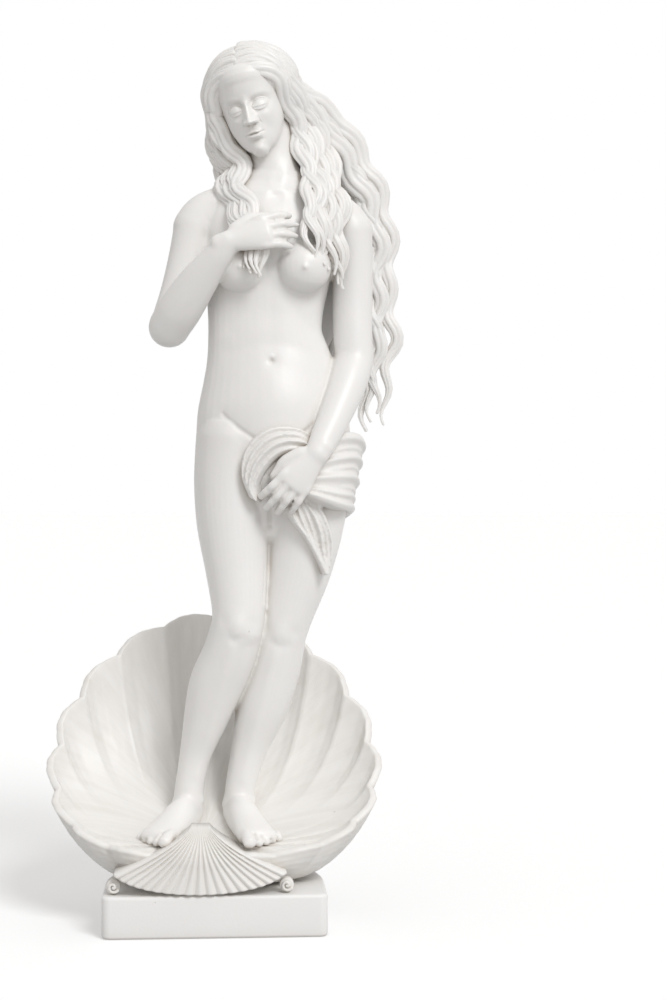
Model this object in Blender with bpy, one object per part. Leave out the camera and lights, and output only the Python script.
"""A goddess standing in an open scallop shell on a low plinth, a cast-marble statuette.

The figure and its shell are one casting, and the plinth is a block of its own under them.
Metres, +Z up. The origin is the centre of the plinth's underside, and the front faces -Y.
"""

import math

import bmesh
import bpy
from mathutils import Matrix, Vector

# Plinth: straight front, sides that round into a half-oval back
PLINTH_WIDTH = 0.146
PLINTH_DEPTH = 0.130
PLINTH_HEIGHT = 0.0275
PLINTH_STRAIGHT = 0.050
PLINTH_CORNER = 0.006
PLINTH_EDGE = 0.0022
JOINT_GAP = 0.0003

# Shell: an open valve, low in front and high behind, with a ribbed hinge hanging over its front
SHELL_WIDTH = 0.2125
SHELL_FRONT, SHELL_BACK = -0.057, 0.066
RIM_FRONT_HEIGHT = 0.0245
RIM_BACK_HEIGHT = 0.172
RIM_SKEW = 1.55
SHELL_FLOOR_HEIGHT = 0.029
SHELL_FLOOR_DISH = 0.002
SHELL_FOOT_SHARE = 0.52
SHELL_FOOT_SINK = 0.004
SHELL_WALL = 0.0048
SHELL_LOBES = 18
LOBE_SWELL = 0.0056
HINGE = (-0.0095, -0.049)
HINGE_HEIGHT = 0.042
FAN_SPREAD = 1.08
FAN_REACH = 0.0635
FAN_TOP = 0.006
FAN_BULGE = 0.0165
FAN_DEPTH = 0.014
FAN_CLEARANCE = 0.001
FAN_RIBS = 19
FAN_RIB_RISE = 0.0013
EAR_RADIUS = 0.0050
EAR_LENGTH = 0.012
EAR_SETBACK = 0.008

# Figure: every station below is in parts of her height, 790 parts from sole to crown
FIGURE_HEIGHT = 0.540
PART = FIGURE_HEIGHT / 790
SOLE_SINK = 0.001

# Casting: the forms are fused on a fine grid, eased, then thinned to flat facets
FUSE_GRID = 0.0014
EASE_STEPS = 3
STATUE_TRIANGLES = 9000

ROUND_SIDES = 20
STATION_STEPS = 4
DOME_RINGS = 3

# Stations: x across, y back, z up from the soles, half width, half depth
TORSO = [
    (54, 3, 318, 48, 36),
    (56, 4, 350, 74, 49),
    (58, 4, 384, 77, 52),
    (57, 1, 425, 74, 49),
    (54, -2, 460, 65, 41),
    (50, -2, 493, 57, 37),
    (50, 1, 520, 57.5, 38),
    (52, 3, 556, 63, 43),
    (54, 4, 592, 67, 43),
    (57, 6, 620, 62, 35),
    (61, 8, 642, 40, 27),
]
NECK = [
    (61, 9, 628, 34, 29),
    (60, 10, 650, 29, 26),
    (56, 12, 672, 25.5, 25),
    (53, 15, 698, 25, 26),
]
SHOULDERS = [
    (-19, 7, 602, 23, 24),
    (-8, 8, 616, 22, 23),
    (20, 9, 628, 21, 22),
    (61, 10, 640, 24, 24),
    (100, 9, 627, 21, 22),
    (124, 8, 614, 22, 23),
    (135, 7, 600, 23, 24),
]
RIGHT_UPPER_ARM = [
    (-19, 7, 602, 22, 24),
    (-26, 4, 570, 20.5, 22),
    (-35, 0, 535, 19.5, 21),
    (-44, -6, 504, 20, 20),
]
RIGHT_FOREARM = [
    (-45, -8, 503, 20.5, 20),
    (-33, -22, 520, 21, 19),
    (-16, -38, 544, 18.5, 16),
    (2, -52, 566, 14, 12),
    (13, -58, 580, 12, 10),
]
LEFT_UPPER_ARM = [
    (135, 7, 600, 22, 24),
    (137, 6, 568, 20.5, 22),
    (137, 3, 530, 20, 21),
    (137, -2, 496, 19.5, 20),
    (138, -6, 470, 19.5, 19),
]
LEFT_FOREARM = [
    (138, -6, 470, 19.5, 19),
    (129, -22, 444, 19, 17.5),
    (114, -42, 408, 15.5, 14),
    (98, -60, 376, 12, 10.5),
]
RIGHT_THIGH = [
    (21, 2, 392, 40, 46),
    (17, 0, 350, 38, 43),
    (18, -6, 308, 36, 39),
    (21, -14, 266, 31, 33),
    (23, -22, 228, 26.5, 28),
    (22, -26, 206, 25, 26),
]
RIGHT_SHIN = [
    (22, -25, 210, 25, 26),
    (14, -17, 180, 26.5, 27),
    (1, -6, 148, 27, 28),
    (-10, 2, 112, 21.5, 24),
    (-20, 6, 76, 15.5, 17),
    (-26, 6, 40, 14.5, 16),
    (-27, 6, 18, 15, 17),
]
LEFT_THIGH = [
    (93, 4, 390, 41, 48),
    (93, 2, 350, 41, 45),
    (90, 0, 308, 38, 41),
    (82, -2, 262, 33, 35),
    (70, -4, 218, 27, 29),
    (64, -4, 194, 25, 27),
]
LEFT_SHIN = [
    (65, -4, 200, 25.5, 27),
    (58, 2, 166, 27, 29),
    (47, 6, 126, 26, 28),
    (34, 8, 84, 18, 20),
    (25, 8, 44, 15, 16),
    (23, 8, 18, 15.5, 17),
]
# Feet: half width, half height, with the last station at the ball
RIGHT_FOOT = [
    (-24, 18, 13, 13, 14),
    (-30, -8, 20, 15, 20),
    (-43, -32, 13, 18.5, 14),
    (-53, -53, 8, 20.5, 9.5),
]
LEFT_FOOT = [
    (20, 20, 13, 13, 14),
    (25, -8, 20, 15, 20),
    (34, -36, 13, 18, 14),
    (41, -60, 8, 20, 9.5),
]
TOE_LENGTHS = (20, 18, 16, 13, 10)
TOE_RADII = (6.6, 4.6, 4.4, 4.2, 4.0)
TOE_SPACE = 3.4
TOE_LIFT = 2

# Round masses: centre, half sizes
MASSES = [
    ((25, -31, 560), (28, 23, 26)),
    ((86, -31, 560), (28, 23, 26)),
    ((55, -24, 420), (48, 27, 44)),
    ((26, 26, 372), (40, 36, 42)),
    ((86, 26, 372), (40, 36, 42)),
    ((-45, -8, 502), (20.5, 19, 20)),
    ((22, -30, 207), (20, 20, 22)),
    ((64, -10, 197), (20, 20, 22)),
]

# Head, in its own axes: x across, y back, z up from the line of the eyes
HEAD_CENTRE = (38, 0, 724)
HEAD_TURN, HEAD_LEAN, HEAD_NOD = -16, -15, 11
SKULL = [
    (0, -32, -40, 10, 8),
    (0, -26, -35, 17.5, 15),
    (0, -18, -26, 24, 22.5),
    (0, -9, -13, 29.5, 32),
    (0, 0, 0, 33, 40),
    (0, 5, 14, 35, 42),
]
NOSE = [
    (0, -35, 5, 3.6, 5),
    (0, -40, -6, 4, 5),
    (0, -44, -15, 5.4, 5.2),
]
BROW = [
    (-22, -24, 8, 3, 3), (-11, -31, 9, 3.4, 3.4), (0, -33, 6, 3.4, 3.4),
    (11, -31, 9, 3.4, 3.4), (22, -24, 8, 3, 3),
]
LIPS = [(-8, -36, -25, 2, 2.2), (0, -38.5, -25, 3, 3.6), (8, -36, -25, 2, 2.2)]
CAP_CENTRE, CAP_HALF = (0, 9, 10), (41, 44, 48)
ROLL_STARTS = (-31, -18, -5, 9, 23, 36)
ROLL_RADIUS = 7.5

# Hand, as parts of its length from wrist to knuckles: share along, half width, half thickness
HAND_LENGTH = 38
PALM = [(-0.25, 10.5, 9), (0.05, 11, 8.6), (0.4, 13.5, 8), (0.8, 16.5, 7), (1.0, 15.5, 6)]
FINGER_LENGTHS = (33, 37, 35, 28)
FINGER_RADIUS = 4.6
FINGER_SPACE = 8.5
INDEX_SIDE = 12.4
PHALANX_SHARES = (0.46, 0.30, 0.24)

# Locks of hair: way points, root and tip half width
LOCKS = [
    ([(70, 18, 745), (92, 10, 708), (98, -2, 668), (106, -22, 634), (104, -36, 598), (112, -42, 556)], 15, 7),
    ([(82, 26, 733), (108, 20, 696), (116, 6, 656), (124, -14, 622), (122, -26, 584), (128, -26, 540)],
     15, 7),
    ([(60, 4, 735), (80, 0, 706), (88, -10, 668), (93, -30, 634), (88, -44, 604), (94, -52, 572)], 12, 6),
    ([(2, 8, 735), (0, 6, 704), (22, 0, 672), (24, -24, 638), (34, -42, 612), (42, -54, 588),
      (44, -58, 548)], 13, 6),
    ([(4, 18, 721), (4, 16, 690), (18, 10, 662), (12, -16, 636), (20, -36, 610), (31, -52, 584),
      (33, -60, 552)], 12, 5),
    ([(30, 44, 745), (26, 54, 696), (14, 51, 640), (18, 53, 564), (14, 46, 500), (26, 48, 436)], 20, 9),
    ([(46, 46, 749), (42, 60, 696), (34, 57, 640), (40, 59, 564), (34, 50, 500), (44, 51, 424)], 20, 10),
    ([(60, 46, 747), (62, 58, 696), (58, 57, 640), (64, 59, 564), (58, 50, 500), (66, 51, 428)], 20, 10),
    ([(70, 36, 743), (84, 53, 696), (86, 54, 640), (92, 56, 564), (86, 47, 504), (94, 48, 436)], 20, 10),
    ([(78, 30, 739), (108, 42, 700), (118, 46, 640), (122, 50, 572), (114, 44, 512), (122, 42, 452),
      (118, 42, 412)], 20, 8),
    ([(88, 22, 731), (120, 32, 700), (142, 38, 648), (152, 42, 590), (144, 40, 530), (152, 36, 468),
      (150, 32, 404)], 20, 8),
    ([(94, 14, 717), (130, 20, 686), (157, 28, 636), (168, 34, 580), (167, 34, 522), (166, 33, 466),
      (160, 29, 418)], 18, 7),
    ([(90, 18, 738), (124, 26, 722), (153, 32, 684), (172, 36, 636), (180, 38, 588), (178, 36, 540),
      (183, 34, 500), (174, 32, 452), (172, 28, 408)], 15, 6),
    ([(10, 34, 723), (14, 42, 680), (10, 40, 640), (6, 40, 590), (2, 38, 538), (10, 40, 480)], 14, 7),
]
HAIR_FALL = [
    (48, 36, 745, 34, 26),
    (56, 46, 700, 48, 18),
    (68, 44, 642, 68, 17),
    (74, 44, 574, 70, 15),
    (70, 39, 510, 60, 13),
    (68, 42, 456, 36, 9),
]
LOCK_DEPTH = 0.66
LOCK_WAVE = 4.5
LOCK_WAVES = 3.0

# Mantle: a swathe from the hand round the hip, a fall behind the left leg, a bunch and a tail at the hand.
# Each sheet has two edges, and its folds are a place at the start and at the end, a width and a height.
SWATHE = (
    [(62, -50, 364), (92, -42, 382), (118, -34, 396), (139, -10, 398), (146, 22, 388), (132, 50, 374),
     (104, 65, 362), (80, 54, 350)],
    [(72, -56, 342), (98, -56, 331), (119, -44, 323), (130, -14, 321), (131, 16, 317), (121, 44, 309),
     (100, 60, 300), (78, 48, 290)],
)
SWATHE_FOLDS = [
    (0.08, 0.06, 0.065, 4.8),
    (0.37, 0.26, 0.070, 5.0),
    (0.60, 0.55, 0.070, 5.4),
    (0.82, 0.80, 0.060, 4.6),
    (0.94, 0.94, 0.065, 5.2),
]
TAIL = (
    [(90, -38, 352), (99, -42, 334), (107, -41, 316), (113, -37, 297), (114, -34, 278), (110, -34, 260)],
    [(66, -38, 352), (66, -44, 334), (73, -47, 314), (86, -44, 296), (96, -39, 278), (106, -35, 258)],
)
TAIL_FOLDS = [(0.12, 0.14, 0.09, 4.6), (0.46, 0.48, 0.10, 5.6), (0.84, 0.86, 0.10, 5.2)]
BUNCH = (
    [(96, -44, 368), (80, -50, 376), (64, -52, 374), (51, -50, 362), (43, -46, 346), (46, -42, 330)],
    [(98, -36, 388), (76, -43, 402), (50, -45, 401), (31, -43, 383), (26, -42, 358), (33, -42, 334)],
)
BUNCH_FOLDS = [(0.12, 0.14, 0.11, 4.6), (0.46, 0.50, 0.12, 5.6), (0.83, 0.86, 0.11, 5.4)]
BUNCH_ROLL = 6
CLOTH_ACROSS = 44
CLOTH_FRONT, CLOTH_BACK = 2.2, 5
FALL = [
    (105, 49, 356, 20, 10),
    (101, 50, 322, 23, 14),
    (92, 46, 284, 24, 17),
    (76, 39, 230, 22, 17),
    (57, 34, 160, 20, 16),
    (34, 35, 90, 14, 16),
    (24, 36, 10, 12, 16),
]
FALL_FOLDS = (9, 0.20)

COLOURS = {
    "statue": ((0.86, 0.85, 0.83), 0.42),
    "plinth": ((0.84, 0.83, 0.82), 0.46),
}


def clear_scene():
    for obj in list(bpy.data.objects):
        bpy.data.objects.remove(obj)


def marble(name):
    colour, roughness = COLOURS[name]
    material = bpy.data.materials.new(name)
    material.use_nodes = True
    shader = material.node_tree.nodes["Principled BSDF"]
    shader.inputs["Base Color"].default_value = (*colour, 1)
    shader.inputs["Roughness"].default_value = roughness
    shader.inputs["Metallic"].default_value = 0
    return material


def add_object(name, bm):
    mesh = bpy.data.meshes.new(name)
    bmesh.ops.recalc_face_normals(bm, faces=bm.faces)
    bm.to_mesh(mesh)
    bm.free()
    obj = bpy.data.objects.new(name, mesh)
    bpy.context.scene.collection.objects.link(obj)
    return obj


def smooth_rows(rows, steps=STATION_STEPS):
    """Rows of numbers, read between their stations from a curve that passes through them."""
    ends = [rows[0]] + list(rows) + [rows[-1]]
    found = []
    for before, start, end, after in zip(ends, ends[1:], ends[2:], ends[3:]):
        for step in range(steps):
            t = step / steps
            found.append([
                0.5 * (2 * q + (r - p) * t + (2 * p - 5 * q + 4 * r - s) * t * t
                       + (3 * q - p - 3 * r + s) * t ** 3)
                for p, q, r, s in zip(before, start, end, after)
            ])
    return found + [list(rows[-1])]


def frame_at(path, index, reference):
    """Across and deep axes of a sweep's cross-section."""
    ahead = path[min(index + 1, len(path) - 1)]
    behind = path[max(index - 1, 0)]
    along = (ahead - behind).normalized()
    across = reference.cross(along).normalized()
    return along, across, along.cross(across)


def sweep(bm, rows, reference=(0, 1, 0), place=None, sides=ROUND_SIDES, steps=STATION_STEPS, folds=(0, 0)):
    """A closed form through stations of x, y, z, half width and half depth, round or gathered in folds."""
    rows = smooth_rows(rows, steps)
    path = [Vector(row[:3]) for row in rows]
    reference = Vector(reference)
    rings = []
    for index, row in enumerate(rows):
        rings.append((path[index], frame_at(path, index, reference), row[3], row[4]))

    def dome(ring, outward):
        centre, axes, half_width, half_depth = ring
        reach = outward * min(half_width, half_depth)
        for step in range(1, DOME_RINGS + 1):
            angle = step / (DOME_RINGS + 1) * math.pi / 2
            lift = axes[0] * reach * math.sin(angle)
            yield centre + lift, axes, half_width * math.cos(angle), half_depth * math.cos(angle)

    rings = list(dome(rings[0], -1))[::-1] + rings + list(dome(rings[-1], 1))
    move = place or (lambda point: point * PART)
    count, depth = folds
    points = []
    for level, (centre, (_, across, deep), half_width, half_depth) in enumerate(rings):
        ring = []
        for side in range(sides):
            turn = 2 * math.pi * side / sides
            wave = math.sin(count * turn / 2 + 0.35 * math.sin(3 * turn) + 0.9 * level / len(rings))
            fold = 1 + depth * (1 - 2 * abs(wave) ** 0.8) * min(1, 3 * level / len(rings))
            offset = (across * half_width * math.cos(turn) + deep * half_depth * math.sin(turn)) * fold
            ring.append(move(centre + offset))
        points.append(ring)
    skin(bm, points)


def skin(bm, rings):
    """Rings of points joined by quads, with a cap on each end."""
    verts = [[bm.verts.new(point) for point in ring] for ring in rings]
    for lower, upper in zip(verts, verts[1:]):
        for side in range(len(lower)):
            after = (side + 1) % len(lower)
            bm.faces.new((lower[side], lower[after], upper[after], upper[side]))
    bm.faces.new(verts[0][::-1])
    bm.faces.new(verts[-1])


def ellipsoid(bm, centre, half_sizes):
    stretch = Matrix.Diagonal((*[half * PART for half in half_sizes], 1))
    place = Matrix.Translation(Vector(centre) * PART) @ stretch
    bmesh.ops.create_icosphere(bm, subdivisions=3, radius=1, matrix=place)


def lock(bm, way, root, tip, phase):
    """One lock of hair that swings from side to side along its way."""
    way = smooth_rows(way, 6)
    last = len(way) - 1
    rows = []
    for index, (x, y, z) in enumerate(way):
        share = index / last
        swing = LOCK_WAVE * math.sin(2 * math.pi * LOCK_WAVES * share + phase) * min(1, 3 * share)
        width = root + (tip - root) * share ** 1.3
        rows.append((x + swing, y, z, width, width * LOCK_DEPTH))
    sweep(bm, rows, sides=10, steps=1)


def hand(bm, wrist, along, back, curls, thumb_side):
    """A hand from wrist to finger tips. Curls are the bends at a finger's three joints in degrees."""
    along, back = Vector(along).normalized(), Vector(back)
    across = back.cross(along).normalized() * thumb_side
    back = (back - along * back.dot(along)).normalized()
    wrist = Vector(wrist)
    palm = [(*(wrist + along * HAND_LENGTH * share), wide, thick) for share, wide, thick in PALM]
    sweep(bm, palm, reference=back)
    for index, length in enumerate(FINGER_LENGTHS):
        side = across * (INDEX_SIDE - FINGER_SPACE * index)
        joint = wrist + along * (HAND_LENGTH - abs(index - 1) * 2) + side
        heading = (along + across * (0.10 - 0.08 * index)).normalized()
        radius = FINGER_RADIUS * (1 if index < 3 else 0.86)
        rows = [(*joint, radius * 1.12, radius * 1.12)]
        for share, curl in zip(PHALANX_SHARES, curls):
            heading = (Matrix.Rotation(math.radians(curl), 3, back.cross(heading)) @ heading).normalized()
            joint = joint + heading * length * share
            radius *= 0.93
            rows.append((*joint, radius, radius))
        sweep(bm, rows, reference=across, sides=10, steps=3)
    base = wrist + along * 9 + across * 11 - back * 3
    knuckle = base + along * 15 + across * 8 - back * 3
    tip = knuckle + along * 17 - across * 1 - back * 5
    sweep(bm, [(*base, 8, 7.5), (*knuckle, 6.4, 6), (*tip, 5, 4.6)], reference=back, sides=12)


def foot(bm, stations, turn_out):
    """The foot's body, then five toes fanned across the ball."""
    sweep(bm, stations, reference=(0, 0, 1))
    heel, ball = Vector(stations[0][:3]), Vector(stations[-1][:3])
    along = (ball - heel).normalized()
    along.z = 0
    across = Vector((0, 0, 1)).cross(along).normalized() * turn_out
    offset = -13
    for length, radius in zip(TOE_LENGTHS, TOE_RADII):
        start = ball + across * offset - along * (abs(offset + 13) * 0.35 + 2)
        start.z = radius + TOE_LIFT
        end = start + along * length
        end.z = radius
        toe = [(*start, radius, radius * 1.1), (*end, radius, radius * 0.9)]
        sweep(bm, toe, reference=(0, 0, 1), sides=10)
        offset += radius + TOE_SPACE


def head(bm):
    turn = Matrix.Rotation(math.radians(HEAD_LEAN), 3, "Y") @ Matrix.Rotation(math.radians(HEAD_TURN), 3, "Z")
    turn = turn @ Matrix.Rotation(math.radians(HEAD_NOD), 3, "X")
    centre = Vector(HEAD_CENTRE)

    def place(point):
        return (centre + turn @ point) * PART

    for rows in (SKULL, NOSE):
        sweep(bm, rows, place=place)
    for rows in (BROW, LIPS):
        sweep(bm, rows, place=place, sides=10)
    stretch = Matrix.Diagonal((*[half * PART for half in CAP_HALF], 1))
    cap = Matrix.Translation(place(Vector(CAP_CENTRE))) @ turn.to_4x4() @ stretch
    bmesh.ops.create_icosphere(bm, subdivisions=3, radius=1, matrix=cap)
    for side in (-1, 1):
        for start in ROLL_STARTS:
            sweep(bm, hair_roll(start, side), place=place, sides=10)


def hair_roll(start, side):
    """A roll of hair from the parting over the side of the head, start parts behind the ears."""
    centre, half = CAP_CENTRE, CAP_HALF
    rows = []
    for step in range(6):
        angle = math.radians(4 + 26 * step)
        back = start + (34 - start) * 0.09 * step
        share = math.sqrt(max(0.05, 1 - ((back - centre[1]) / (half[1] + 2)) ** 2))
        x = side * half[0] * math.sin(angle) * share
        z = centre[2] + half[2] * math.cos(angle) * share
        width = ROLL_RADIUS * (0.75 + 0.08 * step)
        rows.append((x, back, z, width, width))
    return rows


def body(bm):
    for rows in (TORSO, NECK, RIGHT_UPPER_ARM, RIGHT_FOREARM, LEFT_UPPER_ARM, LEFT_FOREARM,
                 RIGHT_THIGH, RIGHT_SHIN, LEFT_THIGH, LEFT_SHIN):
        sweep(bm, rows)
    sweep(bm, SHOULDERS, reference=(0, 1, 0))
    for centre, half_sizes in MASSES:
        ellipsoid(bm, centre, half_sizes)
    foot(bm, RIGHT_FOOT, -1)
    foot(bm, LEFT_FOOT, 1)
    hand(bm, RIGHT_FOREARM[-1][:3], (0.93, -0.10, 0.26), (-0.15, -0.97, 0.2), (16, 26, 16), 1)
    hand(bm, LEFT_FOREARM[-1][:3], (-0.62, -0.10, -0.77), (0.15, -0.98, 0.1), (10, 26, 20), -1)


def cloth(bm, edges, folds, roll=0):
    """A sheet between two edges, with folds raised from its front and a flat back sunk into the body."""
    first, last = (smooth_rows(edge, 7) for edge in edges)
    levels = len(first) - 1
    sheet = [[Vector(start).lerp(Vector(end), k / CLOTH_ACROSS) for k in range(CLOTH_ACROSS + 1)]
             for start, end in zip(first, last)]
    rings = []
    for level, row in enumerate(sheet):
        front, back = [], []
        ahead, behind = sheet[min(level + 1, levels)], sheet[max(level - 1, 0)]
        for k, point in enumerate(row):
            over = k / CLOTH_ACROSS
            across = row[min(k + 1, CLOTH_ACROSS)] - row[max(k - 1, 0)]
            outward = across.cross(ahead[k] - behind[k]).normalized()
            rise = roll * math.sin(math.pi * over) + CLOTH_FRONT
            share = level / levels
            rise += max(height * math.exp(-abs((over - start - (end - start) * share) / width) ** 1.7)
                        for start, end, width, height in folds)
            front.append((point + outward * rise) * PART)
            back.append((point - outward * CLOTH_BACK) * PART)
        rings.append(front + back[::-1])
    skin(bm, rings)


def mantle(bm):
    """The fall behind the leg, the swathe drawn round the hip, and the cloth above and below the hand."""
    sweep(bm, FALL, sides=96, folds=FALL_FOLDS)
    cloth(bm, SWATHE, SWATHE_FOLDS)
    cloth(bm, TAIL, TAIL_FOLDS)
    cloth(bm, BUNCH, BUNCH_FOLDS, roll=BUNCH_ROLL)


def rim_point(turn):
    """A point of the shell's rim. Turn 0 is the front and half a circle is the back."""
    middle, half_depth = (SHELL_FRONT + SHELL_BACK) / 2, (SHELL_BACK - SHELL_FRONT) / 2
    share = ((1 - math.cos(turn)) / 2) ** RIM_SKEW
    height = RIM_FRONT_HEIGHT + (RIM_BACK_HEIGHT - RIM_FRONT_HEIGHT) * share
    x, y = SHELL_WIDTH / 2 * math.sin(turn), middle - half_depth * math.cos(turn)
    return Vector((x, y, PLINTH_HEIGHT + height))


def shell_point(turn, reach, outside):
    """A point on the shell, reach 0 at its hinge or foot and 1 at the rim."""
    rim = rim_point(turn)
    if outside:
        near = SHELL_FOOT_SHARE * min(1, reach * 4)
        foot_x, foot_y = rim.x * near, rim.y * near
        start = Vector((foot_x, foot_y, PLINTH_HEIGHT - SHELL_FOOT_SINK))
        corner = Vector((rim.x * 0.80, rim.y * 0.90, start.z + 0.22 * (rim.z - start.z)))
    else:
        start = Vector((*HINGE, PLINTH_HEIGHT + SHELL_FLOOR_HEIGHT))
        corner = Vector((rim.x * 0.84, rim.y * 0.84, start.z - SHELL_FLOOR_DISH))
    point = start * (1 - reach) ** 2 + corner * 2 * reach * (1 - reach) + rim * reach ** 2
    outward = Vector((rim.x, rim.y, 0)).normalized()
    swell = LOBE_SWELL * (abs(math.sin(SHELL_LOBES * turn / 2)) - 0.5) * min(1, 1.4 * reach)
    point += (outward + Vector((0, 0, 0.5 * reach))) * swell
    if outside:
        point += outward * SHELL_WALL - Vector((0, 0, SHELL_WALL * 0.3))
    return point


def shell(bm):
    """Inner face, outer face and the rim between them, as one closed form."""
    around, levels = SHELL_LOBES * 10, 16
    faces = []
    for outside in (False, True):
        rings = []
        for level in range(1, levels + 1):
            reach = level / levels
            turns = [2 * math.pi * k / around for k in range(around)]
            rings.append([bm.verts.new(shell_point(turn, reach, outside)) for turn in turns])
        faces.append(rings)
        for lower, upper in zip(rings, rings[1:]):
            for k in range(around):
                after = (k + 1) % around
                bm.faces.new((lower[k], lower[after], upper[after], upper[k]))
        bm.faces.new(rings[0])
    inner, outer = faces[0][-1], faces[1][-1]
    for k in range(around):
        after = (k + 1) % around
        bm.faces.new((inner[k], inner[after], outer[after], outer[k]))


def fan_point(side, share, lift):
    """A point of the fan, side -1 to 1 across it, share 0 at the hinge and 1 at the hem."""
    angle = side * FAN_SPREAD
    x = HINGE[0] + FAN_TOP * side * (1 - share) + FAN_REACH * share ** 1.35 * math.sin(angle)
    drop = (HINGE_HEIGHT - FAN_CLEARANCE) * share ** 1.1 * math.cos(angle) ** 0.5
    bulge = FAN_BULGE * math.sin(math.pi / 2 * min(1, 1.7 * share)) * math.cos(angle * 0.6)
    rib = FAN_RIB_RISE * abs(math.sin(math.pi * FAN_RIBS * (side + 1) / 2)) * min(1, 2 * share + 0.15)
    y = HINGE[1] - (bulge + rib) * lift + FAN_DEPTH * (1 - lift)
    return Vector((x, y, PLINTH_HEIGHT + HINGE_HEIGHT - drop))


def fan(bm):
    """The ribbed hinge that spills over the shell's front onto the plinth, with a scroll at each end."""
    across, levels = FAN_RIBS * 8, 12
    layers = []
    for lift in (1, 0):
        layers.append([
            [bm.verts.new(fan_point(2 * k / across - 1, level / levels, lift)) for k in range(across + 1)]
            for level in range(levels + 1)
        ])
        for lower, upper in zip(layers[-1], layers[-1][1:]):
            for k in range(across):
                bm.faces.new((lower[k], lower[k + 1], upper[k + 1], upper[k]))
    edges = [
        [row[0] for row in rows] + rows[-1][1:] + [row[-1] for row in rows[-2::-1]] + rows[0][-2:0:-1]
        for rows in layers
    ]
    front, back = edges
    for index in range(len(front)):
        after = (index + 1) % len(front)
        bm.faces.new((front[index], front[after], back[after], back[index]))
    for side in (-1, 1):
        end = HINGE[0] + side * FAN_REACH * math.sin(FAN_SPREAD)
        place = Vector((end, -PLINTH_DEPTH / 2 + EAR_SETBACK, 0))
        place.z = PLINTH_HEIGHT + EAR_RADIUS
        scroll = Matrix.Translation(place) @ Matrix.Rotation(math.pi / 2, 4, "X")
        bmesh.ops.create_cone(
            bm, cap_ends=True, segments=20, radius1=EAR_RADIUS, radius2=EAR_RADIUS * 0.8,
            depth=EAR_LENGTH, matrix=scroll,
        )


def fuse(name, bm, triangles):
    """The overlapping forms made one closed skin: fused on a grid, eased, and thinned to the count given."""
    draft = add_object(name + "_draft", bm)
    draft.hide_render = True
    remesh = draft.modifiers.new("fuse", "REMESH")
    remesh.mode = "VOXEL"
    remesh.voxel_size = FUSE_GRID
    ease = draft.modifiers.new("ease", "SMOOTH")
    ease.factor = 0.5
    ease.iterations = EASE_STEPS
    fused = outer_skin(evaluated(draft))
    bpy.data.objects.remove(draft)
    draft = add_object(name + "_skin", fused)
    thin = draft.modifiers.new("thin", "DECIMATE")
    thin.ratio = triangles / (2 * len(draft.data.polygons))
    thinned = evaluated(draft)
    bpy.data.objects.remove(draft)
    return thinned


def evaluated(obj):
    graph = bpy.context.evaluated_depsgraph_get()
    found = bmesh.new()
    found.from_object(obj, graph)
    return found


def outer_skin(bm):
    """The largest connected skin, without the closed pockets that fusing leaves inside."""
    seen, groups = set(), []
    for start in bm.verts:
        if start in seen:
            continue
        seen.add(start)
        group, ahead = [], [start]
        while ahead:
            vert = ahead.pop()
            group.append(vert)
            for edge in vert.link_edges:
                other = edge.other_vert(vert)
                if other not in seen:
                    seen.add(other)
                    ahead.append(other)
        groups.append(group)
    groups.sort(key=len)
    for group in groups[:-1]:
        bmesh.ops.delete(bm, geom=group, context="VERTS")
    return bm


def cut_flat(bm, height):
    """The casting's foot, cut level where it stands on the plinth."""
    geometry = bm.verts[:] + bm.edges[:] + bm.faces[:]
    cut = bmesh.ops.bisect_plane(
        bm, geom=geometry, plane_co=(0, 0, height), plane_no=(0, 0, 1), clear_inner=True
    )
    rim = [item for item in cut["geom_cut"] if isinstance(item, bmesh.types.BMEdge)]
    bmesh.ops.holes_fill(bm, edges=rim)
    bmesh.ops.triangulate(bm, faces=bm.faces[:])


def make_statue():
    figure = bmesh.new()
    body(figure)
    head(figure)
    sweep(figure, HAIR_FALL)
    for index, (way, root, tip) in enumerate(LOCKS):
        lock(figure, way, root, tip, 1.9 * index)
    mantle(figure)
    sole = PLINTH_HEIGHT + SHELL_FLOOR_HEIGHT - SOLE_SINK
    bmesh.ops.translate(figure, verts=figure.verts, vec=(0, 0, sole))
    shell(figure)
    fan(figure)
    statue = fuse("aphrodite_in_shell", figure, STATUE_TRIANGLES)
    cut_flat(statue, PLINTH_HEIGHT + JOINT_GAP)
    obj = add_object("aphrodite_in_shell", statue)
    obj.data.materials.append(marble("statue"))
    obj.data.shade_smooth()
    return obj


def plinth_outline():
    """The plinth in plan: straight front and sides, then a half-oval back."""
    half_width, half_depth = PLINTH_WIDTH / 2, PLINTH_DEPTH / 2
    back = PLINTH_DEPTH - PLINTH_STRAIGHT
    points = []
    for step in range(25):
        turn = math.pi * step / 24
        points.append((half_width * math.cos(turn), half_depth - back + back * math.sin(turn)))
    for side in (-1, 1):
        for step in range(5):
            turn = math.pi / 2 * step / 4
            if side > 0:
                turn = math.pi / 2 - turn
            x = side * (half_width - PLINTH_CORNER + PLINTH_CORNER * math.cos(turn))
            points.append((x, -half_depth + PLINTH_CORNER * (1 - math.sin(turn))))
    return points


def make_plinth():
    bm = bmesh.new()
    face = bm.faces.new([bm.verts.new((x, y, 0)) for x, y in plinth_outline()])
    raised = bmesh.ops.extrude_face_region(bm, geom=[face])
    top = [item for item in raised["geom"] if isinstance(item, bmesh.types.BMVert)]
    bmesh.ops.translate(bm, verts=top, vec=(0, 0, PLINTH_HEIGHT))
    obj = add_object("plinth", bm)
    edge = obj.modifiers.new("edge", "BEVEL")
    edge.width = PLINTH_EDGE
    edge.segments = 2
    edge.limit_method = "ANGLE"
    edge.angle_limit = math.radians(60)
    obj.data.materials.append(marble("plinth"))
    return obj


clear_scene()
make_plinth()
make_statue()
